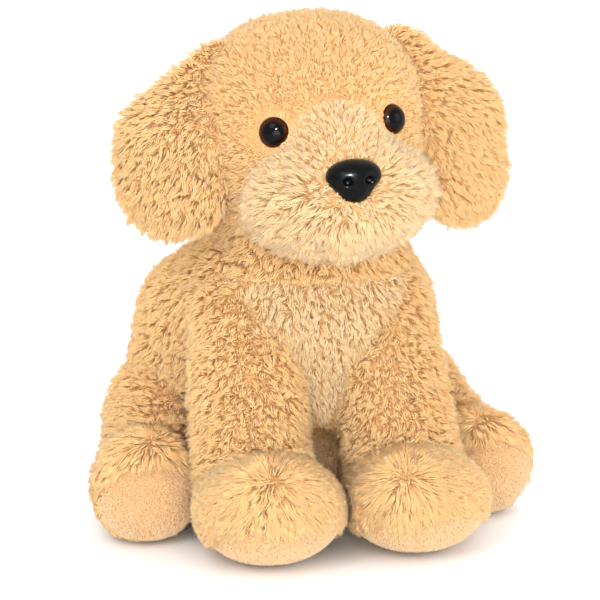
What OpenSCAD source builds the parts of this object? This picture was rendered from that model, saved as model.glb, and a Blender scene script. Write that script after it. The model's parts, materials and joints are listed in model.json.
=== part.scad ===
// Seated plush puppy, about 300 mm tall, sewn from pile fabric over fibre stuffing.
// It faces -Y, +Z is up, and its left side is +X. Surfaces are the fabric's backing: pile stands proud.

/* [Torso] */
// Radius of the seat
seat_r = 64; // [60:1:66]
// Radius of each side of the chest
chest_r = 48; // [45:1:49]
// Height of the chest's centre
chest_z = 116; // [112:1:118]
// Thickness of every fabric cover
cover_t = 2.2; // [1.5:0.1:3]

/* [Head] */
// Radius of the skull
skull_r = 54; // [50:1:56]
// Height of the skull's centre
skull_z = 238; // [236:1:244]
// Radius of each cheek of the muzzle
muzzle_r = 29; // [26:1:31]
// Sideways lean of the head at rest, in degrees
head_tilt = 4.5; // [0:0.5:5]
// Radius of the stuffed ball that the head rocks on
neck_r = 32; // [29:1:32]
// Radius of each eye's dome
eye_r = 8.5; // [7:0.5:10]
// Width of the nose
nose_w = 29; // [25:1:32]

/* [Legs] */
// Radius of a front leg at the shoulder
shoulder_r = 30; // [28:1:31]
// Radius of a front leg at the ankle
ankle_r = 29; // [26:1:30]
// Radius of the spheres that a front paw is drawn over
paw_r = 26; // [24:1:27]
// Radius of a hind foot
foot_r = 28; // [26:1:29]
// Radius of a thigh about the hip's axis
thigh_r = 46; // [43:1:47]

/* [Tail] */
// Radius of the tail at its root
tail_root_r = 11; // [9:1:12]
// Radius of the tail at its tip
tail_tip_r = 13; // [11:1:15]

/* [Hidden] */
$fn = 20;
fine = 48;
gap = 0.5;         // clearance between pieces that move on each other
fill_gap = 0.2;    // clearance between a cover and what it holds
stand_y = -22;     // puts the origin at the middle of the footprint
floor_z = 0;
big = 400;

seat = [0, 46, 54];
chest = [20, 24, chest_z];
flank = [56, 68, 112];
flank_r = 28;
neck = [0, 12, 168];
shoulder = [42, 8, 120];
ankle = [45, -24, 42];
paw_toe = [34, -67, 27];
paw_toe_out = [50, -67, 27];
paw_heel = [43, -40, 31];
paw_heel_r = 31;
hip = [80, 66, 49];
thigh_w = 35;      // half width of a thigh across the hip's axis
foot_toe = [100, -2, 27];
foot_heel = [99, 22, 28];
foot_front_y = -25;
tail_root = [0, 108, 22];
tail_tip = [0, 124, 17];
sole_t = 2.4;

skull = [0, -1, skull_z];
jaw = [16, -9, 208];
jaw_r = 37;
muzzle = [18, -50, 197];
bridge = [0, -42, 228];
bridge_r = 18;
eye = [33, -43.5, 236.5];
eye_aim = [-5, 38]; // tilt and turn of an eye's axis away from straight ahead, in degrees
nose = [0, -76.5, 211];
stem_r = 2.4;
washer_r = 6.5;

ear_root = [54, 4, 277];
ear_root_r = 11;
ear_r = 11;
// The ear's rim: upper outer edge, widest point, lower outer edge, tip, inner edge
ear_outline = [[86, 17, 262], [101, 20, 232], [100, 18, 208], [88, 9, 187], [72, -6, 183], [66, -14, 208]];
ear_turn = 40;     // the ear's width runs this far back from straight sideways, in degrees
belly_w = 40;
belly_d = 60;
belly_front_y = -60;
belly_low_z = 40;
belly_h = 96;
pouch = [0, 46, 19];
pouch_size = [34, 32, 14];

tan_fur = "#e5b878";
pale_fur = "#eecb93";
velour = "#edc391";
fibre = "#f4f2ec";
black = "#0d0c0c";

// Helpers

module ball(at, r) translate(at) sphere(r = r);

// Moves the toy so that the origin is under its middle
module stand() translate([0, stand_y, 0]) children();

// The head's own frame leans about the neck
module head_frame()
    translate(neck) rotate([0, -head_tilt, 0]) translate(-neck) children();

// side is 1 for the toy's left, -1 for its right
module on_side(side) mirror([side < 0 ? 1 : 0, 0, 0]) children();

module above(z) translate([-big / 2, -big / 2, z]) cube(big);
module below(z) translate([-big / 2, -big / 2, z - big]) cube(big);
module in_front(y) translate([-big / 2, y - big, -big / 2]) cube(big);
module behind(y) translate([-big / 2, y, -big / 2]) cube(big);

// Forms, each drawn in by d from its outer surface

module front_leg_form(d)
    hull() { ball(shoulder, shoulder_r - d); ball(ankle, ankle_r - d); }

module paw_form(d)
    intersection() {
        hull() {
            ball(paw_toe, paw_r - d);
            ball(paw_toe_out, paw_r - d);
            ball(paw_heel, paw_heel_r - d);
        }
        above(floor_z + d);
    }

module thigh_form(d)
    translate(hip) scale([(thigh_w - d) / (thigh_r - d), 1, 1]) sphere(r = thigh_r - d, $fn = 36);

module foot_form(d)
    intersection() {
        hull() { ball(foot_toe, foot_r - 1 - d); ball(foot_heel, foot_r - d); }
        above(floor_z + d);
        behind(foot_front_y + d);
    }

// The room that a front leg needs at rest and as it swings forward
module leg_room(d)
    for (side = [-1, 1]) on_side(side) {
        front_leg_form(-gap - d);
        hull()
            for (forward = [0, 90])
                translate([0, -forward, 0]) {
                    ball(shoulder, shoulder_r + 2 * gap + d);
                    ball(ankle, ankle_r + 2 * gap + d);
                }
    }

module torso_form(d)
    difference() {
        hull() {
            ball(seat, seat_r - d);
            for (side = [-1, 1]) on_side(side) {
                ball(chest, chest_r - d);
                ball(flank, flank_r - d);
            }
        }
        below(floor_z + d);
        leg_room(d);
        for (side = [-1, 1]) on_side(side) thigh_form(-gap - d);
        translate(neck) sphere(r = neck_r + gap + d, $fn = fine);
        ball(tail_root, tail_root_r + gap + d);
    }

module head_form(d)
    hull() {
        translate(skull) sphere(r = skull_r - d, $fn = 28);
        for (side = [-1, 1]) on_side(side) ball(jaw, jaw_r - d);
    }

module muzzle_form(d)
    hull() {
        for (side = [-1, 1]) on_side(side) ball(muzzle, muzzle_r - d);
        ball(bridge, bridge_r - d);
    }

module ear_form()
    difference() {
        hull() {
            ball(ear_root, ear_root_r);
            for (spot = ear_outline) ball(spot, ear_r);
        }
        head_form(-gap);
    }

// The half space on the outer side of an ear's middle sheet
module ear_outside()
    translate(ear_root) rotate([0, 0, ear_turn]) translate([-big / 2, -big, -big / 2]) cube(big);

module tail_form(d)
    intersection() {
        hull() { ball(tail_root, tail_root_r - d); ball(tail_tip, tail_tip_r - d); }
        above(floor_z + d);
    }

// Along an eye's own axis, +Z pointing out of the face
module eye_frame(side)
    on_side(side) translate(eye) rotate([90 + eye_aim[0], 0, eye_aim[1]]) children();

module nose_frame() translate(nose) rotate([90, 0, 0]) children();

// Torso

module torso_cover() color(tan_fur)
    difference() {
        torso_form(0);
        torso_form(cover_t);
        translate(neck) cylinder(r = 22, h = 120, center = true);
        belly_region(0);
    }

// The room of the paler panel between the front legs, drawn in by d
module belly_region(d)
    translate([d - belly_w / 2, belly_front_y, belly_low_z + d])
        cube([belly_w - 2 * d, belly_d - d, belly_h - 2 * d]);

module belly_panel() color(pale_fur)
    intersection() {
        difference() { torso_form(0); torso_form(cover_t); }
        belly_region(fill_gap / 2);
    }

module torso_stuffing() color(fibre)
    difference() {
        torso_form(cover_t + fill_gap);
        translate([pouch[0], pouch[1], floor_z]) cylinder(r = pouch_size[0] + 1, h = 2 * pouch_size[2] + 10);
    }

module pouch_form(d)
    translate(pouch)
        scale([(pouch_size[0] - d) / 10, (pouch_size[1] - d) / 10, (pouch_size[2] - d) / 10])
            sphere(r = 10, $fn = 36);

module pellet_pouch() color("white") difference() { pouch_form(0); pouch_form(0.8); }

module pellet_fill() color("ivory") pouch_form(1);

module neck_stuffing() color(fibre) translate(neck) sphere(r = neck_r);

// Head

module neck_socket() translate(neck) sphere(r = neck_r + gap, $fn = fine);

module stem_holes(r)
    for (side = [-1, 1]) eye_frame(side) translate([0, 0, -11]) cylinder(r = r, h = 24);

module washer_room(at_nose)
    if (at_nose) nose_frame() translate([0, 0, -12]) cylinder(r = washer_r + 1, h = 9.5);
    else for (side = [-1, 1]) eye_frame(side) translate([0, 0, -10.5]) cylinder(r = washer_r + 1, h = 8);

module head_cover() color(tan_fur) head_frame()
    difference() {
        head_form(0);
        head_form(cover_t);
        neck_socket();
        stem_holes(stem_r + 0.2);
        washer_room(false);
        eye_room();
    }

module head_stuffing() color(fibre) head_frame()
    difference() {
        head_form(cover_t + fill_gap);
        neck_socket();
        stem_holes(stem_r + 0.2);
        washer_room(false);
        eye_room();
    }

module muzzle_cover() color(pale_fur) head_frame()
    difference() {
        muzzle_form(0);
        muzzle_form(cover_t);
        head_form(-fill_gap);
        nose_frame() translate([0, 0, -20]) cylinder(r = stem_r + 0.2, h = 40);
        nose_form(0.2);
        eye_room();
    }

module muzzle_stuffing() color(fibre) head_frame()
    difference() {
        muzzle_form(cover_t + fill_gap);
        head_form(-fill_gap);
        nose_frame() translate([0, 0, -20]) cylinder(r = stem_r + 0.2, h = 40);
        washer_room(true);
        nose_form(0.2);
        eye_room();
    }

// The room that the eyes' domes take
module eye_room()
    for (side = [-1, 1]) eye_frame(side) sphere(r = eye_r + 0.3, $fn = 36);

// A moulded eye: a low dome on a flange, with a stem that its washer grips behind the fabric
module eye_piece(side) color(black) head_frame() eye_frame(side) {
    intersection() {
        translate([0, 0, 0.6]) scale([1, 1, 0.72]) sphere(r = eye_r);
        translate([0, 0, 0.5]) cylinder(r = eye_r + 1, h = eye_r);
    }
    translate([0, 0, -9.5]) cylinder(r = stem_r, h = 11);
}

module eye_lock_washers() color("white") head_frame()
    for (side = [-1, 1]) eye_frame(side) translate([0, 0, -5.5])
        difference() {
            cylinder(r = washer_r, h = 1.8);
            translate([0, 0, -1]) cylinder(r = stem_r + 0.05, h = 4);
        }

// A wide rounded pad over a narrower stalk
module nose_form(d)
    nose_frame() {
        translate([0, 2.4, 0.5]) scale([(nose_w / 2 + d) / 10, (9 + d) / 10, (9.5 + d) / 10]) sphere(r = 10);
        translate([0, -5.5, -0.5]) scale([(8 + d) / 10, (6 + d) / 10, (7 + d) / 10]) sphere(r = 10);
    }

module nose_pad() color(black) head_frame() {
    difference() {
        nose_form(0);
        nose_frame() translate([-big / 2, -big / 2, -big - 1.5]) cube(big);
    }
    nose_frame() translate([0, 0, -11]) cylinder(r = stem_r, h = 12);
}

module nose_lock_washer() color("white") head_frame() nose_frame()
    translate([0, 0, -7])
        difference() {
            cylinder(r = washer_r, h = 1.8);
            translate([0, 0, -1]) cylinder(r = stem_r + 0.05, h = 4);
        }

module ear_outer(side) color(tan_fur) head_frame() on_side(side)
    intersection() { ear_form(); ear_outside(); }

module ear_lining(side) color(pale_fur) head_frame() on_side(side)
    difference() { ear_form(); ear_outside(); }

// Front legs

module front_leg_cover(side) color(tan_fur) on_side(side)
    difference() {
        front_leg_form(0);
        front_leg_form(cover_t);
        paw_form(-fill_gap / 2);
    }

module front_leg_stuffing(side) color(fibre) on_side(side)
    union() {
        difference() { front_leg_form(cover_t + fill_gap); paw_form(-fill_gap / 2); }
        paw_form(cover_t + sole_t);
    }

module front_paw_cover(side) color(tan_fur) on_side(side)
    difference() {
        paw_form(0);
        paw_form(cover_t);
        below(floor_z + sole_t);
    }

module front_paw_sole(side) color(velour) on_side(side)
    intersection() { paw_form(0); below(floor_z + sole_t - 0.05); }

// Hind legs

module thigh_cover(side) color(tan_fur) on_side(side)
    difference() {
        thigh_form(0);
        thigh_form(cover_t);
        foot_form(-fill_gap / 2);
    }

module foot_cover(side) color(tan_fur) on_side(side)
    difference() {
        foot_form(0);
        foot_form(cover_t);
        in_front(foot_front_y + sole_t);
    }

module foot_sole(side) color(velour) on_side(side)
    intersection() { foot_form(0); in_front(foot_front_y + sole_t - 0.05); }

module hind_leg_stuffing(side) color(fibre) on_side(side)
    union() {
        difference() { thigh_form(cover_t + fill_gap); foot_form(-fill_gap / 2); }
        foot_form(cover_t + sole_t);
    }

// Tail

module tail_cover() color(tan_fur) difference() { tail_form(0); tail_form(cover_t); }

module tail_stuffing() color(fibre) tail_form(cover_t + fill_gap);

stand() {
    torso_cover();
    belly_panel();
    torso_stuffing();
    pellet_pouch();
    pellet_fill();
    neck_stuffing();
    head_cover();
    head_stuffing();
    muzzle_cover();
    muzzle_stuffing();
    eye_piece(1);  // eye_left
    eye_piece(-1);  // eye_right
    eye_lock_washers();
    nose_pad();  // nose
    nose_lock_washer();
    ear_outer(1);  // ear_left_outer
    ear_lining(1);  // ear_left_lining
    ear_outer(-1);  // ear_right_outer
    ear_lining(-1);  // ear_right_lining
    front_leg_cover(1);  // front_leg_left_cover
    front_leg_stuffing(1);  // front_leg_left_stuffing
    front_paw_cover(1);  // front_paw_left_cover
    front_paw_sole(1);  // front_paw_left_sole
    front_leg_cover(-1);  // front_leg_right_cover
    front_leg_stuffing(-1);  // front_leg_right_stuffing
    front_paw_cover(-1);  // front_paw_right_cover
    front_paw_sole(-1);  // front_paw_right_sole
    thigh_cover(1);  // thigh_left_cover
    foot_cover(1);  // foot_left_cover
    foot_sole(1);  // foot_left_sole
    hind_leg_stuffing(1);  // hind_leg_left_stuffing
    thigh_cover(-1);  // thigh_right_cover
    foot_cover(-1);  // foot_right_cover
    foot_sole(-1);  // foot_right_sole
    hind_leg_stuffing(-1);  // hind_leg_right_stuffing
    tail_cover();
    tail_stuffing();
}
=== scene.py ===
"""Seated plush puppy: stuffed skins, sewn pile, moulded eyes and nose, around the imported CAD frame."""

import json
import math

import bpy
import numpy as np
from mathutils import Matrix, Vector, kdtree


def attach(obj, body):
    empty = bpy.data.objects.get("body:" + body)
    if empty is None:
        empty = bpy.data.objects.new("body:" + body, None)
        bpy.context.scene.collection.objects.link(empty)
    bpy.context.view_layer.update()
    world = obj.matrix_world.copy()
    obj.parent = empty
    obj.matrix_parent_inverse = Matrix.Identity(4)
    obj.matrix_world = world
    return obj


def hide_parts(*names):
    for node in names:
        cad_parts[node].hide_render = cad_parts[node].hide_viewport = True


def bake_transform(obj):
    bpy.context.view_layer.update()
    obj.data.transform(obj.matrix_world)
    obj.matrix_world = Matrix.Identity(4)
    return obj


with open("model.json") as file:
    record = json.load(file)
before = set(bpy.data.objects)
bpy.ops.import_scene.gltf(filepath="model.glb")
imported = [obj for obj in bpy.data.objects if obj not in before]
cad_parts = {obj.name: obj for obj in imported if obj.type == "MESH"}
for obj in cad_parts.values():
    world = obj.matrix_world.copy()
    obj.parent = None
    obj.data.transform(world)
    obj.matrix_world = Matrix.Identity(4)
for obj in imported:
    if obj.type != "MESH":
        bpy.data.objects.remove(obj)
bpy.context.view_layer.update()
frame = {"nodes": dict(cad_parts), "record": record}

MM = 0.001
SIDES = {"left": 1, "right": -1}

# Places are in millimetres in the toy's own frame: it faces -Y and +X is its left side.
STAND = np.array([0.0, -22.0, 0.0])  # from the toy's own frame to the CAD frame
NECK = np.array([0.0, 12.0, 168.0])
HEAD_TILT = math.radians(4.5)
SHOULDER = np.array([42.0, 8.0, 120.0])
EAR_ROOT = np.array([54.0, 4.0, 277.0])
EAR_TURN = {1: math.radians(23), -1: math.radians(33)}
EAR_DROP = {1: 75.0, -1: 64.0}
EAR_SHIFT = {1: 3.0, -1: -5.0}
EYE = {1: np.array([34.2, -45.6, 237.2]), -1: np.array([-31.6, -47.0, 236.6])}
NOSE = np.array([1.0, -79.0, 210.0])
FOOT_FRONT = -25.0
TORSO_LOW, TORSO_HIGH = (-118, -50, -6), (118, 125, 230)
STRANDS_PER_MM2 = 1.15


# ---------------------------------------------------------------- camera, light and floor

def make_camera():
    azimuth, elevation, distance = math.radians(-15), math.radians(10), 0.95
    aim_height, aim_left = 0.1338, 0.010
    back = Vector((math.sin(azimuth) * math.cos(elevation),
                   -math.cos(azimuth) * math.cos(elevation),
                   math.sin(elevation)))
    right = Vector((math.cos(azimuth), math.sin(azimuth), 0))
    aim = Vector(STAND * MM) + Vector((0, 0, aim_height)) - right * aim_left
    data = bpy.data.cameras.new("camera")
    data.sensor_width = 36
    data.lens = 99.14
    camera = bpy.data.objects.new("camera", data)
    camera.location = aim + back * distance
    camera.rotation_euler = (-back).to_track_quat("-Z", "Y").to_euler()
    bpy.context.collection.objects.link(camera)
    bpy.context.scene.camera = camera


def area_light(name, place, aim, size, power):
    data = bpy.data.lights.new(name, "AREA")
    data.shape = "DISK"
    data.size = size
    data.energy = power
    light = bpy.data.objects.new(name, data)
    light.location = place
    light.rotation_euler = (Vector(place) - Vector(aim)).to_track_quat("Z", "Y").to_euler()
    bpy.context.collection.objects.link(light)
    return light


def make_studio():
    world = bpy.data.worlds.new("studio")
    bpy.context.scene.world = world
    world.use_nodes = True
    world.node_tree.nodes["Background"].inputs["Color"].default_value = (1, 1, 1, 1)
    world.node_tree.nodes["Background"].inputs["Strength"].default_value = 1.2
    bpy.context.scene.view_settings.view_transform = "Standard"
    middle = (0, 0, 0.15)
    area_light("key", (-0.75, -0.9, 1.15), middle, 0.7, 5)
    area_light("front", (-0.35, -1.4, 0.05), (0, 0, 0.05), 1.0, 17)
    area_light("fill", (1.1, -0.8, 0.55), middle, 0.9, 4)
    area_light("rim", (0.3, 1.1, 0.9), middle, 0.8, 3)
    sparkle = area_light("sparkle", (-0.3, -1.2, 0.7), (0, -0.07, 0.23), 0.07, 70)
    sparkle.visible_diffuse = False
    bpy.ops.mesh.primitive_plane_add(size=12, location=(0, 0, -0.0003))
    floor = bpy.context.object
    floor.name = "floor"
    shader = material("floor")[1]
    shader.inputs["Base Color"].default_value = (1, 1, 1, 1)
    shader.inputs["Roughness"].default_value = 0.7
    floor.data.materials.append(bpy.data.materials["floor"])


# ---------------------------------------------------------------- materials

def material(name):
    """A new node material, with its tree and its Principled shader."""
    made = bpy.data.materials.new(name)
    made.use_nodes = True
    return made, made.node_tree.nodes["Principled BSDF"]


def ramp(tree, source, stops):
    node = tree.nodes.new("ShaderNodeValToRGB")
    band = node.color_ramp
    band.elements[0].position, band.elements[0].color = stops[0][0], (*stops[0][1], 1)
    band.elements[1].position, band.elements[1].color = stops[-1][0], (*stops[-1][1], 1)
    for place, colour in stops[1:-1]:
        band.elements.new(place).color = (*colour, 1)
    tree.links.new(source, node.inputs["Fac"])
    return node.outputs["Color"]


def strand_axes(tree):
    """The strand's shade (0 to 1) and the way along it (0 at the root) as two sockets."""
    uv = tree.nodes.new("ShaderNodeUVMap")
    uv.uv_map = "OFBake"
    split = tree.nodes.new("ShaderNodeSeparateXYZ")
    tree.links.new(uv.outputs["UV"], split.inputs["Vector"])
    return split.outputs["X"], split.outputs["Y"]


def multiply(tree, a, b):
    node = tree.nodes.new("ShaderNodeMix")
    node.data_type = "RGBA"
    node.blend_type = "MULTIPLY"
    node.inputs["Factor"].default_value = 1
    tree.links.new(a, node.inputs["A"])
    tree.links.new(b, node.inputs["B"])
    return node.outputs["Result"]


def pile_material(name, along, shades, rough=0.75, sheen=0.25):
    """Pile whose colour runs from root to tip, and differs from strand to strand."""
    made, shader = material(name)
    tree = made.node_tree
    shade, way = strand_axes(tree)
    colour = multiply(tree, ramp(tree, way, along), ramp(tree, shade, shades))
    tree.links.new(colour, shader.inputs["Base Color"])
    shader.inputs["Roughness"].default_value = rough
    shader.inputs["Sheen Weight"].default_value = sheen
    shader.inputs["Sheen Roughness"].default_value = 0.5
    shader.inputs["Sheen Tint"].default_value = (1, 0.9, 0.7, 1)
    shader.inputs["Specular IOR Level"].default_value = 0.25
    return made


def bumped(tree, shader, scale, detail, strength, depth):
    """Roughens a shader's surface with noise, and returns the noise."""
    noise = tree.nodes.new("ShaderNodeTexNoise")
    place = tree.nodes.new("ShaderNodeTexCoord")
    tree.links.new(place.outputs["Object"], noise.inputs["Vector"])
    noise.inputs["Scale"].default_value = scale
    noise.inputs["Detail"].default_value = detail
    height = tree.nodes.new("ShaderNodeBump")
    height.inputs["Strength"].default_value = strength
    height.inputs["Distance"].default_value = depth
    tree.links.new(noise.outputs["Fac"], height.inputs["Height"])
    tree.links.new(height.outputs["Normal"], shader.inputs["Normal"])
    return noise.outputs["Fac"]


def cloth_material(name, light, dark, scale, rough=0.9):
    """Fabric backing or fibre, mottled and lightly bumped."""
    made, shader = material(name)
    tree = made.node_tree
    noise = bumped(tree, shader, scale, 4, 0.3, 0.0005)
    tree.links.new(ramp(tree, noise, [(0.3, dark), (0.7, light)]), shader.inputs["Base Color"])
    shader.inputs["Roughness"].default_value = rough
    return made


def plastic_material(name, colour, rough, grain, gloss=0.5):
    """Moulded plastic with a faint grain."""
    made, shader = material(name)
    bumped(made.node_tree, shader, 900, 2, grain, 0.0002)
    shader.inputs["Base Color"].default_value = (*colour, 1)
    shader.inputs["Roughness"].default_value = rough
    shader.inputs["Specular IOR Level"].default_value = gloss
    return made


def eye_material():
    """Brown-tinted glossy dome: black pupil, dark chestnut ring, black rim."""
    made, shader = material("eye_plastic")
    tree = made.node_tree
    way = strand_axes(tree)[1]
    black, brown, warm = (0.002, 0.002, 0.002), (0.022, 0.005, 0.002), (0.052, 0.012, 0.004)
    stops = [(0.0, black), (0.62, black), (0.72, brown), (0.84, warm), (0.93, brown), (0.97, black)]
    tree.links.new(ramp(tree, way, stops), shader.inputs["Base Color"])
    shader.inputs["Roughness"].default_value = 0.05
    shader.inputs["Specular IOR Level"].default_value = 0.10
    return made


TAN_ALONG = [(0.0, (0.90, 0.53, 0.19)), (0.4, (0.95, 0.60, 0.25)), (0.8, (0.97, 0.66, 0.31)),
             (1.0, (0.99, 0.72, 0.40))]
PALE_ALONG = [(0.0, (0.93, 0.61, 0.28)), (0.4, (0.96, 0.68, 0.35)), (0.8, (0.98, 0.745, 0.445)),
              (1.0, (0.99, 0.80, 0.53))]
SOLE_ALONG = [(0.0, (0.88, 0.58, 0.31)), (1.0, (0.95, 0.70, 0.43))]
SHADES = [(0.0, (0.87, 0.78, 0.68)), (0.5, (0.965, 0.945, 0.915)), (1.0, (1.0, 1.0, 1.0))]


def make_materials():
    return {
        "tan_fur": pile_material("tan_fur", TAN_ALONG, SHADES),
        "pale_fur": pile_material("pale_fur", PALE_ALONG, SHADES),
        "sole_velour": pile_material("sole_velour", SOLE_ALONG, SHADES, rough=0.9, sheen=0.4),
        "backing": cloth_material("backing", (0.62, 0.34, 0.11), (0.50, 0.26, 0.08), 400),
        "stuffing": cloth_material("stuffing", (0.93, 0.92, 0.89), (0.82, 0.81, 0.78), 90),
        "pouch_cloth": cloth_material("pouch_cloth", (0.9, 0.88, 0.84), (0.8, 0.78, 0.74), 600),
        "pellet": cloth_material("pellet", (0.9, 0.89, 0.86), (0.72, 0.70, 0.66), 250, rough=0.5),
        "eye_plastic": eye_material(),
        "nose_plastic": plastic_material("nose_plastic", (0.002, 0.002, 0.0025), 0.25, 0.12, 0.09),
        "washer_plastic": plastic_material("washer_plastic", (0.85, 0.85, 0.83), 0.5, 0.1),
    }


# ---------------------------------------------------------------- fields: distance outside a form

def unit(v):
    return v / np.maximum(np.linalg.norm(v, axis=-1, keepdims=True), 1e-9)


def ellipsoid(p, centre, radii):
    q = (p - centre) / radii
    a = np.linalg.norm(q, axis=-1)
    b = np.linalg.norm(q / radii, axis=-1)
    return a * (a - 1) / np.maximum(b, 1e-9)


def capsule(p, a, b, ra, rb):
    a, b = np.asarray(a, float), np.asarray(b, float)
    along = np.clip(((p - a) @ (b - a)) / ((b - a) @ (b - a)), 0, 1)
    return np.linalg.norm(p - a - along[:, None] * (b - a), axis=-1) - (ra + along * (rb - ra))


def join(a, b, k):
    """Union of two fields, rounded over a width of k."""
    h = np.maximum(k - np.abs(a - b), 0) / k
    return np.minimum(a, b) - h * h * k * 0.25


def cut(a, b, k):
    """What of field a is also in field b, rounded over a width of k."""
    return -join(-a, -b, k)


def gradient(field, p, step=0.5):
    out = np.empty_like(p)
    for axis in range(3):
        shift = np.zeros(3)
        shift[axis] = step
        out[:, axis] = (field(p + shift) - field(p - shift)) / (2 * step)
    return out


def settle(field, p, rounds=3):
    """Moves points onto the field's surface."""
    for _ in range(rounds):
        g = gradient(field, p)
        p = p - g * (field(p) / np.maximum((g * g).sum(-1), 1e-6))[:, None]
    return p


def mirrored(p, side):
    return p * np.array([side, 1, 1])


def head_local(p):
    """The head leans at the neck: takes the toy's frame to the head's upright frame."""
    c, s = math.cos(HEAD_TILT), math.sin(HEAD_TILT)
    q = p - NECK
    return np.stack([q[:, 0] * c + q[:, 2] * s, q[:, 1], q[:, 2] * c - q[:, 0] * s], -1) + NECK


def head_world(v, point=True):
    """The reverse of head_local, for points or directions."""
    c, s = math.cos(HEAD_TILT), math.sin(HEAD_TILT)
    q = v - NECK if point else v
    out = np.stack([q[:, 0] * c - q[:, 2] * s, q[:, 1], q[:, 2] * c + q[:, 0] * s], -1)
    return out + NECK if point else out


def torso_field(p):
    seat = ellipsoid(p, (0, 54, 56), (66, 56, 60))
    middle = ellipsoid(p, (0, 36, 104), (64, 52, 60))
    chest = capsule(p, (-27, 26, 134), (27, 26, 134), 36, 36)
    neck = capsule(p, (0, 16, 140), (0, 10, 176), 48, 44)
    side = p * toward(0, 1, 1) + np.abs(p[:, :1]) * toward(1, 0, 0)
    flank = capsule(side, (56, 71, 115), (74, 74, 54), 27.5, 31)
    slope = capsule(side, (24, 42, 150), (54, 70, 118), 18, 25)
    body = join(join(join(seat, middle, 30), chest, 24), neck, 20)
    out = join(body, join(flank, slope, 30), 34)
    cleft = capsule(p, (0, -30, 24), (0, 6, 50), 18, 13)
    return cut(cut(out, -cleft, 10), -p[:, 2] + 0.6, 6)


def front_leg_field(p):
    """The toy's left front leg."""
    leg = capsule(p, (38, 12, 123), (45, -20, 44), 31, 31)
    paw = join(ellipsoid(p, (42, -55, 28), (40, 36, 28)), ellipsoid(p, (43, -34, 27), (33, 30, 27)), 10)
    return cut(join(leg, paw, 9), -p[:, 2] + 0.6, 5)


def hind_leg_field(p):
    thigh = ellipsoid(p, (77, 67, 48), (34, 45, 44))
    shin = capsule(p, (92, 34, 36), (98, 14, 30), 26, 26)
    foot = ellipsoid(p, (101, 0, 30), (30, 31, 30))
    out = join(join(thigh, shin, 20), foot, 8)
    out = cut(out, FOOT_FRONT - p[:, 1], 16)
    return cut(out, -p[:, 2] + 0.6, 6)


def skull_field(q):
    skull = ellipsoid(q, (0, 0, 237), (58, 56, 55))
    crown = capsule(q, (-15, 2, 245), (15, 2, 245), 44, 44)
    cheeks = capsule(q, (-18, -8, 208), (18, -8, 208), 37, 37)
    return join(join(skull, crown, 16), cheeks, 20)


def muzzle_field(q):
    ball = ellipsoid(q, (1.5, -46, 199), (49, 35, 30))
    bridge = ellipsoid(q, (0, -42, 225), (21, 22, 20))
    return join(ball, bridge, 22)


def head_upright(q):
    return join(skull_field(q), muzzle_field(q), 10)


def head_field(p):
    return head_upright(head_local(p))


def ear_axes(q, side):
    """Along the ear's width, its normal and its height, from its root."""
    c, s = math.cos(EAR_TURN[side]), math.sin(EAR_TURN[side])
    d = q - EAR_ROOT
    z = d[:, 2]
    fall = np.clip(-z / 45, 0, 1)
    bulge = 20 * fall * fall * (3 - 2 * fall) + 2
    return d[:, 0] * c + d[:, 1] * s - EAR_SHIFT[side], d[:, 0] * s - d[:, 1] * c - bulge, z


def ear_upright(q, side):
    """A soft flat drop, thin at its rim, that hangs clear of the cheek."""
    u, n, z = ear_axes(q, side)
    flat = np.stack([u, n * 2.4, z], -1)
    upper = capsule(flat, (-2, 0, -12), (20, 0, -44), 19, 29)
    lower = capsule(flat, (20, 0, -46), (22, 0, -EAR_DROP[side]), 30, 32)
    return join(upper, lower, 12) / 1.6


def ear_field(p, side):
    return ear_upright(mirrored(head_local(p), side), side)


def tail_field(p):
    return cut(capsule(p, (0, 100, 26), (0, 124, 19), 12, 13), -p[:, 2] + 0.6, 4)


# ---------------------------------------------------------------- meshes

CORNERS = [(i, j, k) for i in (0, 1) for j in (0, 1) for k in (0, 1)]


def shifted(grid, offset):
    """The part of a grid that starts at offset, one shorter each way."""
    return grid[tuple(slice(o, n - 1 + o) for o, n in zip(offset, grid.shape))]


def surface_net(field, low, high, step):
    """Vertices and quads of the closed surface where field is zero, over a box."""
    low = np.asarray(low, float)
    counts = np.ceil((np.asarray(high, float) - low) / step).astype(int) + 1
    axes = [low[a] + step * np.arange(counts[a]) for a in range(3)]
    points = np.stack(np.meshgrid(*axes, indexing="ij"), -1).reshape(-1, 3)
    values = field(points).reshape(counts)
    inside = values < 0
    filled = sum(shifted(inside, c).astype(int) for c in CORNERS)
    active = (filled > 0) & (filled < 8)
    index = np.full(active.shape, -1)
    index[active] = np.arange(active.sum())
    total = np.zeros((*active.shape, 3))
    crossings = np.zeros(active.shape)
    for axis in range(3):
        step_on = np.eye(3, dtype=int)[axis]
        for start in (c for c in CORNERS if c[axis] == 0):
            a = shifted(values, start)
            b = shifted(values, tuple(np.array(start) + step_on))
            crosses = (a < 0) != (b < 0)
            share = np.where(crosses, a / np.where(crosses, a - b, 1), 0)
            spot = np.array(start) + share[..., None] * step_on
            total += np.where(crosses[..., None], spot, 0)
            crossings += crosses
    cells = np.argwhere(active)
    verts = low + step * (cells + total[active] / crossings[active][:, None])
    quads = []
    for axis in range(3):
        b, c = (axis + 1) % 3, (axis + 2) % 3
        window = [slice(1, n - 1) for n in counts]
        window[axis] = slice(0, counts[axis] - 1)
        first = inside[tuple(window)]
        window[axis] = slice(1, counts[axis])
        second = inside[tuple(window)]
        for starts_inside in (True, False):
            at = np.argwhere((first == starts_inside) & (second != starts_inside))
            at[:, b] += 1
            at[:, c] += 1
            ring = []
            for db, dc in ((-1, -1), (0, -1), (0, 0), (-1, 0)):
                cell = at.copy()
                cell[:, b] += db
                cell[:, c] += dc
                ring.append(index[tuple(cell.T)])
            quad = np.stack(ring, -1)
            quads.append(quad if starts_inside else quad[:, ::-1])
    return settle(field, verts), np.concatenate(quads)


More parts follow.
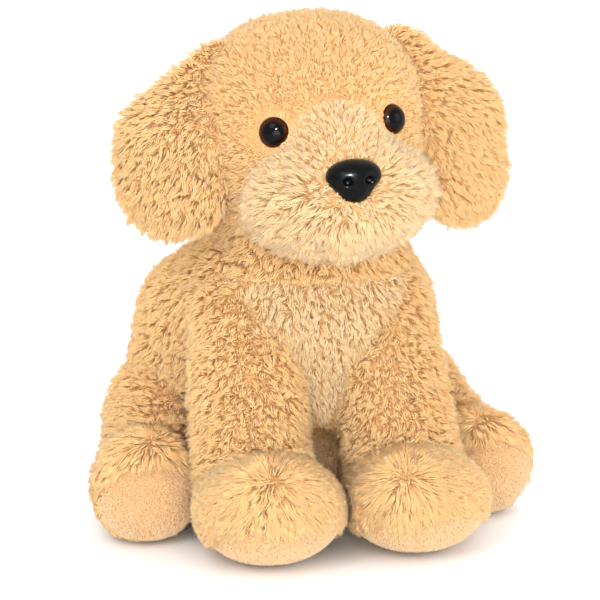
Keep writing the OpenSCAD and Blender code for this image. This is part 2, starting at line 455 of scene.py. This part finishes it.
def mesh_object(name, verts, faces, mat, uvs=None, smooth=True):
    """A new object from points in millimetres. faces is one array of equal-sized faces, or a list."""
    faces = [faces] if isinstance(faces, np.ndarray) else faces
    data = bpy.data.meshes.new(name)
    data.vertices.add(len(verts))
    data.vertices.foreach_set("co", ((verts + STAND) * MM).astype(np.float32).ravel())
    loops = np.concatenate([f.ravel() for f in faces])
    sizes = np.concatenate([np.full(len(f), f.shape[1]) for f in faces])
    data.loops.add(len(loops))
    data.loops.foreach_set("vertex_index", loops.astype(np.int32))
    data.polygons.add(len(sizes))
    starts = np.concatenate([[0], np.cumsum(sizes)[:-1]])
    data.polygons.foreach_set("loop_start", starts.astype(np.int32))
    data.polygons.foreach_set("use_smooth", np.full(len(sizes), smooth))
    data.update(calc_edges=True)
    if uvs is not None:
        layer = data.uv_layers.new(name="OFBake")
        layer.data.foreach_set("uv", uvs[loops].astype(np.float32).ravel())
    data.materials.append(mat)
    made = bpy.data.objects.new(name, data)
    bpy.context.collection.objects.link(made)
    return made


# ---------------------------------------------------------------- pile

def scatter(field, mesh, per_mm2, rng):
    """Root points spread evenly over a surface, with its normals."""
    verts, quads = mesh
    tris = np.concatenate([quads[:, [0, 1, 2]], quads[:, [0, 2, 3]]])
    a, b, c = (verts[tris[:, i]] for i in range(3))
    area = np.linalg.norm(np.cross(b - a, c - a), axis=1) / 2
    count = int(area.sum() * per_mm2)
    edges = np.cumsum(area)
    stratum = (np.arange(count) + rng.random(count)) / count * edges[-1]
    pick = np.searchsorted(edges, stratum).clip(0, len(tris) - 1)
    r1, r2 = np.sqrt(rng.random(count)), rng.random(count)
    shares = (1 - r1)[:, None], (r1 * (1 - r2))[:, None], (r1 * r2)[:, None]
    roots = a[pick] * shares[0] + b[pick] * shares[1] + c[pick] * shares[2]
    roots = settle(field, roots, 1)
    return roots, unit(gradient(field, roots))


def nearest(points, seeds):
    """For each point, the index of the nearest seed."""
    tree = kdtree.KDTree(len(seeds))
    for i, s in enumerate(seeds):
        tree.insert(s, i)
    tree.balance()
    return np.array([tree.find(p)[1] for p in points])


def grow(roots, normals, comb, length, rng, style):
    """Points along each strand (n, rings, 3), gathered into tufts, and each strand's shade."""
    count = len(roots)
    seeds = rng.choice(count, max(count // style["tuft"], 1), replace=False)
    own = nearest(roots, roots[seeds])
    stray = rng.normal(size=(len(seeds), 3)) * style["stray"]
    stray_strand = rng.normal(size=(count, 3)) * style["frizz"]
    lean = comb + stray[own] + stray_strand
    lean = lean - normals * (lean * normals).sum(-1, keepdims=True)
    tuft_length = 1 + (rng.random(len(seeds)) - 0.5) * style["uneven"]
    size = length * tuft_length[own] * (0.85 + 0.3 * rng.random(count))
    start = unit(normals + lean * style["lean_root"])
    end = unit(normals * style["lift_tip"] + lean * style["lean_tip"])
    turn = np.cross(normals, unit(lean + 1e-6)) * (rng.normal(size=(count, 1)) * style["curl"])
    base = roots - normals * 0.5
    knee = base + start * size[:, None] * 0.5 + turn * size[:, None] * 0.5
    tip = knee + end * size[:, None] * 0.5
    heart = np.zeros((len(seeds), 3))
    members = np.maximum(np.bincount(own, minlength=len(seeds)), 1)[:, None]
    for axis in range(3):
        heart[:, axis] = np.bincount(own, tip[:, axis], len(seeds))
    heart = heart / members
    tip = tip + (heart[own] - tip) * style["gather"]
    knee = knee + (heart[own] - tip) * style["gather"] * 0.25
    steps = np.linspace(0, 1, style["rings"] + 1)[None, :, None]
    line = (base[:, None] * (1 - steps) ** 2 + 2 * knee[:, None] * steps * (1 - steps)
            + tip[:, None] * steps ** 2)
    tuft_shade = rng.normal(size=len(seeds)) * 0.16
    shade = 0.58 + tuft_shade[own] + rng.normal(size=count) * 0.12
    return line, shade


def strand_mesh(line, width, shade):
    """Closed three-sided tapering spikes along each line, with shade and way along as UVs."""
    count, rings = line.shape[0], line.shape[1] - 1
    along = np.empty_like(line)
    along[:, :-1] = line[:, 1:] - line[:, :-1]
    along[:, -1] = along[:, -2]
    along = unit(along)
    side = unit(np.cross(along, np.array([0.31, 0.53, 0.79])))
    other = np.cross(along, side)
    taper = (1 - (np.arange(rings) / rings) ** 1.6 * 0.75)[None, :, None]
    size = width[:, None, None] * 0.5 * taper
    corners = []
    for k in range(3):
        angle = 2 * math.pi * k / 3
        ring = line[:, :-1] + (side * math.cos(angle) + other * math.sin(angle))[:, :-1] * size
        corners.append(ring)
    body = np.stack(corners, 2).reshape(count, rings * 3, 3)
    verts = np.concatenate([body, line[:, -1:]], 1)
    per = rings * 3 + 1
    tris = [(0, 2, 1)]
    for r in range(rings - 1):
        for k in range(3):
            a, b = r * 3 + k, r * 3 + (k + 1) % 3
            tris += [(a, b, b + 3), (a, b + 3, a + 3)]
    last = (rings - 1) * 3
    tris += [(last + k, last + (k + 1) % 3, per - 1) for k in range(3)]
    faces = (np.array(tris)[None] + (np.arange(count) * per)[:, None, None]).reshape(-1, 3)
    way = np.concatenate([np.repeat(np.arange(rings) / rings, 3), [1.0]])
    uvs = np.empty((count, per, 2))
    uvs[:, :, 0] = np.clip(shade, 0.02, 0.98)[:, None] + 0.01 * (np.arange(per) % 3)[None]
    uvs[:, :, 1] = way
    return verts.reshape(-1, 3), faces, uvs.reshape(-1, 2)


BODY_PILE = {"tuft": 13, "stray": 0.42, "frizz": 0.26, "uneven": 0.3, "lean_root": 0.5, "lean_tip": 1.0,
             "lift_tip": 0.65, "curl": 0.25, "gather": 0.55, "rings": 2}
LONG_PILE = {"tuft": 12, "stray": 0.16, "frizz": 0.10, "uneven": 0.4, "lean_root": 1.1, "lean_tip": 1.3,
             "lift_tip": 0.12, "curl": 0.12, "gather": 0.6, "rings": 2}
MUZZLE_PILE = {"tuft": 13, "stray": 0.34, "frizz": 0.16, "uneven": 0.45, "lean_root": 0.6,
               "lean_tip": 1.0, "lift_tip": 0.7, "curl": 0.2, "gather": 0.6, "rings": 2}
SHORT_PILE = {"tuft": 6, "stray": 0.3, "frizz": 0.25, "uneven": 0.2, "lean_root": 0.3, "lean_tip": 0.6,
              "lift_tip": 0.8, "curl": 0.2, "gather": 0.2, "rings": 2}
PILE_WIDTH = {"tan_fur": 0.66, "pale_fur": 0.62, "sole_velour": 0.6}
MAX_STRANDS = 19000


def rides(piece, body, blend=None):
    """Rides on a body; when a blend is given it is only fixed in place and rides on none: blend is
    (other body, start, end) in millimetres, and its contents are not read.
    """
    if blend is None:
        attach(piece, body)
        return
    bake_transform(piece)


def add_pile(name, field, mesh, mat, body, style, comb, length, keep, seed, blend=None, dense=1.0,
             painted_shade_of=None):
    """Covers a surface with pile, in as many pieces as their size asks for."""
    rng = np.random.default_rng(seed)
    roots, normals = scatter(field, mesh, STRANDS_PER_MM2 * dense, rng)
    kept = keep(roots)
    roots, normals = roots[kept], normals[kept]
    if not len(roots):
        return []
    reach = length(roots) * tucked(other_parts(roots, body))
    line, shade = grow(roots, normals, comb(roots), reach, rng, style)
    # Optional tone offset per root; its one use darkens the pile between the legs as painted shade.
    if painted_shade_of is not None:
        shade = shade + painted_shade_of(roots)
    lowest = 0.25
    line[..., 2] = np.maximum(line[..., 2], lowest)
    width = PILE_WIDTH[mat] * (0.8 + 0.4 * rng.random(len(roots)))
    parts = max(1, math.ceil(len(roots) / MAX_STRANDS))
    order = np.argsort(np.arctan2(roots[:, 0] - roots[:, 0].mean(), roots[:, 1] - roots[:, 1].mean()))
    made = []
    for i, chosen in enumerate(np.array_split(order, parts)):
        verts, faces, uvs = strand_mesh(line[chosen], width[chosen], shade[chosen])
        label = name if parts == 1 else f"{name}_{i + 1}"
        piece = mesh_object(label, verts, faces, MATERIALS[mat], uvs)
        rides(piece, body, blend)
        made.append(piece)
    return made


def add_skin(name, field, low, high, body, mat="backing", step=3.0, blend=None):
    """The fabric backing of a stuffed part."""
    verts, quads = surface_net(field, low, high, step)
    piece = mesh_object(name, verts, quads, MATERIALS[mat])
    rides(piece, body, blend)
    return piece, (verts, quads)


def toward(*v):
    return np.array(v, float)


# ---------------------------------------------------------------- where the pile grows, and how

def other_parts(p, own):
    """How deep a point is inside the toy's other parts, as the lowest of their fields."""
    fields = {
        "torso": lambda: torso_field(p),
        "head": lambda: head_field(p),
        "front_leg_left": lambda: front_leg_field(p),
        "front_leg_right": lambda: front_leg_field(mirrored(p, -1)),
        "hind_leg_left": lambda: hind_leg_field(p),
        "hind_leg_right": lambda: hind_leg_field(mirrored(p, -1)),
        "tail": lambda: tail_field(p),
    }
    return np.min([f() for part, f in fields.items() if part != own], axis=0)


def showing(outside):
    """Leaves out the roots far inside another part, which no pose uncovers."""
    return outside > -13


def tucked(outside):
    """Pile is shorter where another part presses on it, so that its tips don't fill the crease."""
    return np.clip(1 + outside / 6, 0.35, 1.0)


def belly(p):
    """Over 0 on the paler panel between the front legs, in millimetres from its seams."""
    half = (p[:, 2] - 62) * 0.72
    return np.minimum(half - np.abs(p[:, 0]), np.minimum(150 - p[:, 2], 6 - p[:, 1]))


def pale_face(q):
    """Over 0 on the muzzle's paler pile, in millimetres from its seam."""
    ball = -ellipsoid(q, (0, -58, 196), (56, 34, 38))
    bridge = -ellipsoid(q, (0, -60, 224), (28, 34, 27))
    return -join(-ball, -bridge, 14)


def seam_gap(d, width=3.5):
    """Pile is shorter beside a seam that is d away."""
    return 0.35 + 0.65 * np.clip(np.abs(d) / width, 0, 1)


def make_torso():
    skin, mesh = add_skin("torso_skin", torso_field, TORSO_LOW, TORSO_HIGH, "torso")
    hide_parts("torso_cover", "belly_panel")

    def clear(p):
        return showing(other_parts(p, "torso")) & (p[:, 2] > 1.5)

    def down(p):
        away = unit(p - toward(0, 40, 0)) * toward(1, 1, 0)
        return away * 0.1 + toward(0, 0, -0.9)

    def crotch_short_and_painted_shade(p):
        """From 0 between the legs, where the pile is short and its tone is darkened as painted shade for
        the shadow in the gap, to 1 outside.
        """
        reach = np.maximum(np.abs(p[:, 0]) - 8, np.maximum(p[:, 2] - 60, p[:, 1] - 20))
        return np.clip(reach / 12, 0, 1)

    # Between the legs the torso pile's tone is pulled down to its darkest: painted shade standing in for
    # the shadow in the gap there.
    add_pile("torso_fur", torso_field, mesh, "tan_fur", "torso", BODY_PILE, down,
             lambda p: 8.0 * seam_gap(belly(p)) * (0.35 + 0.65 * crotch_short_and_painted_shade(p)),
             lambda p: clear(p) & (belly(p) < 0), 11, painted_shade_of=lambda p: crotch_short_and_painted_shade(p) * 1.3 - 1.3)
    add_pile("belly_fur", torso_field, mesh, "pale_fur", "torso", BODY_PILE, down,
             lambda p: 7.5 * seam_gap(belly(p)), lambda p: clear(p) & (belly(p) >= 0), 12)


def make_head():
    skin, mesh = add_skin("head_skin", head_field, (-75, -95, 150), (75, 75, 305), "head")
    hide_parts("head_cover", "muzzle_cover")

    def eyes_clear(q):
        spots = [EYE[s] for s in (1, -1)]
        return np.min([np.linalg.norm(q - e, axis=-1) for e in spots], axis=0) > 8.4

    def keep(p, pale):
        q = head_local(p)
        inside_neck = np.linalg.norm(p - NECK, axis=-1) < 44
        bare_nose = np.linalg.norm(q - NOSE - toward(0, 0, -1), axis=-1) < 9
        return ~inside_neck & ~bare_nose & eyes_clear(q) & ((pale_face(q) >= 0) == pale)

    def face_comb(p):
        q = head_local(p)
        away = unit(q - toward(0, -70, 214))
        back = toward(0, 0.55, -0.25)
        return head_world(away * 0.75 + back * 0.35, point=False)

    def muzzle_comb(p):
        q = head_local(p)
        return head_world(unit(q - toward(0, -92, 206)) * 1.0 + toward(0, 0, -0.12), point=False)

    def by_eyes(q):
        """Pile is short around the eyes."""
        spots = [EYE[s] for s in (1, -1)]
        reach = np.min([np.linalg.norm(q - e, axis=-1) for e in spots], axis=0)
        return 0.4 + 0.6 * np.clip((reach - 9) / 9, 0, 1)

    def face_length(p):
        q = head_local(p)
        front = np.clip((-q[:, 1] - 5) / 35, 0, 1)
        return (6.5 - 1.5 * front) * seam_gap(pale_face(q)) * by_eyes(q)

    def muzzle_length(p):
        q = head_local(p)
        near_nose = np.clip(np.linalg.norm(q - NOSE, axis=-1) / 26, 0.35, 1)
        high = np.clip((q[:, 2] - 214) / 16, 0, 1)
        return (9.5 - 4 * high) * near_nose * seam_gap(pale_face(q)) * by_eyes(q)

    add_pile("head_fur", head_field, mesh, "tan_fur", "head", BODY_PILE, face_comb, face_length,
             lambda p: keep(p, False), 21, dense=1.15)
    add_pile("muzzle_fur", head_field, mesh, "pale_fur", "head", MUZZLE_PILE, muzzle_comb, muzzle_length,
             lambda p: keep(p, True), 22, dense=1.3)


def make_ear(side_name):
    side = SIDES[side_name]
    field = lambda p: ear_field(p, side)
    low, high = (25, -60, 150), (135, 55, 305)
    if side < 0:
        low, high = (-135, low[1], low[2]), (-25, high[1], high[2])
    body = f"ear_{side_name}"
    skin, mesh = add_skin(f"ear_{side_name}_skin", field, low, high, body, step=2.5)
    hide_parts(f"ear_{side_name}_outer", f"ear_{side_name}_lining")

    def outward(p):
        return ear_axes(mirrored(head_local(p), side), side)[1] > 1.0

    def hang(p):
        q = mirrored(head_local(p), side)
        spread = unit(q - EAR_ROOT - toward(14, 0, -20)) * 0.45
        return head_world(mirrored(spread + toward(0.5, 0, -0.8), side), point=False)

    def clear(p):
        return head_field(p) > -4

    add_pile(f"ear_{side_name}_fur", field, mesh, "tan_fur", body, BODY_PILE, hang,
             lambda p: np.clip(4.5 + head_field(p) * 0.35, 4.5, 8), lambda p: outward(p) & clear(p),
             30 + side, dense=1.1)
    add_pile(f"ear_{side_name}_lining_fur", field, mesh, "pale_fur", body, SHORT_PILE, hang,
             lambda p: np.full(len(p), 4.5), lambda p: ~outward(p) & clear(p), 34 + side, dense=0.8)


def make_front_leg(side_name):
    side = SIDES[side_name]
    field = lambda p: front_leg_field(mirrored(p, side))
    low, high = (4, -100, -6), (86, 50, 172)
    if side < 0:
        low, high = (-86, low[1], low[2]), (-4, high[1], high[2])
    body = f"front_leg_{side_name}"
    bend = ("torso", (side * SHOULDER[0], 20, 158), (side * SHOULDER[0], 0, 104))
    skin, mesh = add_skin(f"front_leg_{side_name}_skin", field, low, high, body, blend=bend)
    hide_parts(f"front_leg_{side_name}_cover", f"front_paw_{side_name}_cover",
                f"front_paw_{side_name}_sole")
    tuft = toward(28, -76, 48) if side > 0 else toward(46, -74, 50)

    def on_paw(p):
        q = mirrored(p, side)
        line = 50 - (q[:, 1] + 40) * 0.55
        return (q[:, 2] < line) & (q[:, 1] < 0) & (q[:, 2] < 66) & (q[:, 1] < -22 - (q[:, 2] - 50) * 0.3)

    def on_sole(p):
        q = mirrored(p, side)
        edge = 30 - (q[:, 1] + 92) * 0.5
        return (q[:, 2] < edge) & (q[:, 1] < -30)

    def clear(p):
        return showing(other_parts(p, body)) & (p[:, 2] > 1.2)

    def down(p):
        q = mirrored(p, side)
        return mirrored(toward(0.1, 0, -0.9) + 0 * q, side)

    def from_tuft(p):
        q = mirrored(p, side)
        return mirrored(unit(q - tuft) * 1.2 + toward(0, 0, -0.25), side)

    def tuft_length(p):
        q = mirrored(p, side)
        reach = np.linalg.norm(q - tuft, axis=-1)
        return np.clip(16 - reach * 0.22, 5.5, 16) * np.clip(0.45 + reach / 12, 0, 1)

    add_pile(f"front_leg_{side_name}_fur", field, mesh, "tan_fur", body, BODY_PILE, down,
             lambda p: np.full(len(p), 7.5), lambda p: clear(p) & ~on_paw(p) & ~on_sole(p), 40 + side,
             blend=bend)
    add_pile(f"front_paw_{side_name}_fur", field, mesh, "tan_fur", body, LONG_PILE, from_tuft,
             tuft_length, lambda p: clear(p) & on_paw(p) & ~on_sole(p), 44 + side, dense=1.25)
    add_pile(f"front_paw_{side_name}_undercoat", field, mesh, "tan_fur", body, SHORT_PILE, from_tuft,
             lambda p: np.full(len(p), 5.0), lambda p: clear(p) & on_paw(p) & ~on_sole(p),
             46 + side, dense=0.8)
    add_pile(f"front_paw_{side_name}_velour", field, mesh, "sole_velour", body, SHORT_PILE, down,
             lambda p: np.full(len(p), 1.9), lambda p: on_sole(p) & (p[:, 2] > 0.8),
             48 + side, dense=2.2)


def make_hind_leg(side_name):
    side = SIDES[side_name]
    field = lambda p: hind_leg_field(mirrored(p, side))
    low, high = (40, -34, -6), (142, 118, 126)
    if side < 0:
        low, high = (-142, low[1], low[2]), (-40, high[1], high[2])
    body = f"hind_leg_{side_name}"
    skin, mesh = add_skin(f"hind_leg_{side_name}_skin", field, low, high, body)
    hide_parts(f"thigh_{side_name}_cover", f"foot_{side_name}_cover", f"foot_{side_name}_sole")
    tuft = toward(98, -6, 60)

    def sole_edge(p):
        """Over 0 on the sole, which faces forward."""
        q = mirrored(p, side)
        disc = 28 - np.linalg.norm((q - toward(100, 0, 26)) * toward(0.96, 0, 1.12), axis=-1)
        return np.minimum(disc, -6 - q[:, 1])

    def on_foot(p):
        q = mirrored(p, side)
        return q[:, 1] < 18 + (q[:, 2] - 40) * 0.1

    def clear(p):
        return showing(other_parts(p, body)) & (p[:, 2] > 1.2)

    def down(p):
        return toward(side * 0.1, 0.15, -0.9) + 0 * p

    def from_tuft(p):
        q = mirrored(p, side)
        return mirrored(unit(q - tuft) * 1.1 + toward(0, -0.1, -0.2), side)

    def tuft_length(p):
        q = mirrored(p, side)
        reach = np.linalg.norm(q - tuft, axis=-1)
        return np.clip(15 - reach * 0.2, 6, 15) * np.clip(0.35 + reach / 12, 0, 1)

    add_pile(f"thigh_{side_name}_fur", field, mesh, "tan_fur", body, BODY_PILE, down,
             lambda p: np.full(len(p), 8.0), lambda p: clear(p) & ~on_foot(p), 50 + side)
    add_pile(f"foot_{side_name}_fur", field, mesh, "tan_fur", body, LONG_PILE, from_tuft, tuft_length,
             lambda p: clear(p) & on_foot(p) & (sole_edge(p) < 0), 54 + side, dense=1.2)
    add_pile(f"foot_{side_name}_velour", field, mesh, "sole_velour", body, SHORT_PILE, down,
             lambda p: np.full(len(p), 2.2), lambda p: sole_edge(p) >= 0, 58 + side, dense=2.2)


def make_tail():
    skin, mesh = add_skin("tail_skin", tail_field, (-22, 80, -6), (22, 145, 46), "tail", step=2.5)
    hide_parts("tail_cover")
    add_pile("tail_fur", tail_field, mesh, "tan_fur", "tail", LONG_PILE,
             lambda p: toward(0, 1, -0.3) + 0 * p, lambda p: np.full(len(p), 11.0),
             lambda p: (other_parts(p, "tail") > -4) & (p[:, 2] > 1.2), 61)


# ---------------------------------------------------------------- eyes and nose

def axis_frame(direction):
    """Three axes, the last along direction."""
    w = unit(np.asarray(direction, float))
    u = unit(np.cross(toward(0, 0, 1), w))
    return u, np.cross(w, u), w


def make_eye(side_name):
    side = SIDES[side_name]
    turn, lift = math.radians(24), math.radians(4)
    outward = toward(side * math.sin(turn), -math.cos(turn), math.sin(lift))
    u, v, w = axis_frame(outward)
    radius, rings, segments = 8.5, 28, 64
    verts, uvs = [EYE[side] + w * (radius * 0.74)], [(0.5, 0.0)]
    profile = []
    for r in range(1, rings + 1):
        angle = (math.pi / 2) * r / rings
        profile.append((radius * math.sin(angle), radius * 0.74 * math.cos(angle), r / rings))
    profile += [(radius * 1.0, -0.5, 0.99), (radius * 0.9, -1.2, 0.995), (radius * 0.4, -1.4, 0.998)]
    for reach, height, share in profile:
        for s in range(segments):
            a = 2 * math.pi * s / segments
            verts.append(EYE[side] + u * reach * math.cos(a) + v * reach * math.sin(a)
                         + w * height)
            uvs.append((s / segments, math.sin(math.pi / 2 * share)))
    verts.append(EYE[side] - w * 1.4)
    uvs.append((0.5, 1.0))
    count = len(profile)
    tris = [(0, 1 + s, 1 + (s + 1) % segments) for s in range(segments)]
    last = len(verts) - 1
    base = 1 + (count - 1) * segments
    tris += [(last, base + (s + 1) % segments, base + s) for s in range(segments)]
    quads = []
    for r in range(count - 1):
        a, b = 1 + r * segments, 1 + (r + 1) * segments
        quads += [(a + s, b + s, b + (s + 1) % segments, a + (s + 1) % segments)
                  for s in range(segments)]
    placed = head_world(np.array(verts))
    eye = mesh_object(f"eye_{side_name}_dome", placed, [np.array(tris), np.array(quads)],
                      MATERIALS["eye_plastic"], np.array(uvs))
    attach(eye, "head")
    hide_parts(f"eye_{side_name}")


def nose_upright(q):
    pad = ellipsoid(q, NOSE + toward(0, 0, 2.5), (14.6, 10.5, 8.4))
    top = ellipsoid(q, NOSE + toward(0, 1.5, 4.5), (12.5, 8.5, 6.0))
    stem = ellipsoid(q, NOSE + toward(0, 0.5, -4.5), (8.4, 7.5, 7.0))
    out = join(join(pad, top, 5), stem, 5)
    for side in (1, -1):
        pit = ellipsoid(q, NOSE + toward(side * 6.0, -9.5, 1.0), (2.6, 3.2, 2.2))
        out = cut(out, -pit, 1.6)
    return out


def make_nose():
    field = lambda p: nose_upright(head_local(p))
    verts, quads = surface_net(field, (-22, -95, 190), (26, -62, 232), 0.6)
    nose = mesh_object("nose_pad", verts, quads, MATERIALS["nose_plastic"])
    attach(nose, "head")
    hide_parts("nose")


# ---------------------------------------------------------------- inside

def make_insides():
    """Fibre stuffing, a little inside each skin, and finishes for the CAD pieces that stay."""
    inner = 3.0
    parts = [("torso_fibre", torso_field, TORSO_LOW, TORSO_HIGH, "torso", ["torso_stuffing"]),
             ("head_fibre", head_field, (-75, -95, 150), (75, 75, 305), "head",
              ["head_stuffing", "muzzle_stuffing"]),
             ("tail_fibre", tail_field, (-22, 80, -6), (22, 145, 46), "tail", ["tail_stuffing"])]
    for name, side in SIDES.items():
        leg = lambda p, side=side: front_leg_field(mirrored(p, side))
        hind = lambda p, side=side: hind_leg_field(mirrored(p, side))
        x0, x1 = sorted((side * 4, side * 86))
        parts.append((f"front_leg_{name}_fibre", leg, (x0, -100, -6), (x1, 50, 172),
                      f"front_leg_{name}", [f"front_leg_{name}_stuffing"]))
        x0, x1 = sorted((side * 40, side * 142))
        parts.append((f"hind_leg_{name}_fibre", hind, (x0, -34, -6), (x1, 118, 126),
                      f"hind_leg_{name}", [f"hind_leg_{name}_stuffing"]))
    for name, field, low, high, body, nodes in parts:
        deeper = lambda p, field=field: field(p) + inner
        verts, quads = surface_net(deeper, low, high, 5.0)
        piece = mesh_object(name, verts, quads, MATERIALS["stuffing"])
        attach(piece, body)
        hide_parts(*nodes)
    for sub in frame["record"]["subparts"]:
        node = frame["nodes"][sub["node"]]
        if node.hide_render:
            continue
        node.data.materials.clear()
        node.data.materials.append(MATERIALS[sub["material_slot"]])


make_camera()
MATERIALS = make_materials()
make_studio()
make_torso()
make_head()
for which in SIDES:
    make_ear(which)
    make_front_leg(which)
    make_hind_leg(which)
    make_eye(which)
make_tail()
make_nose()
make_insides()
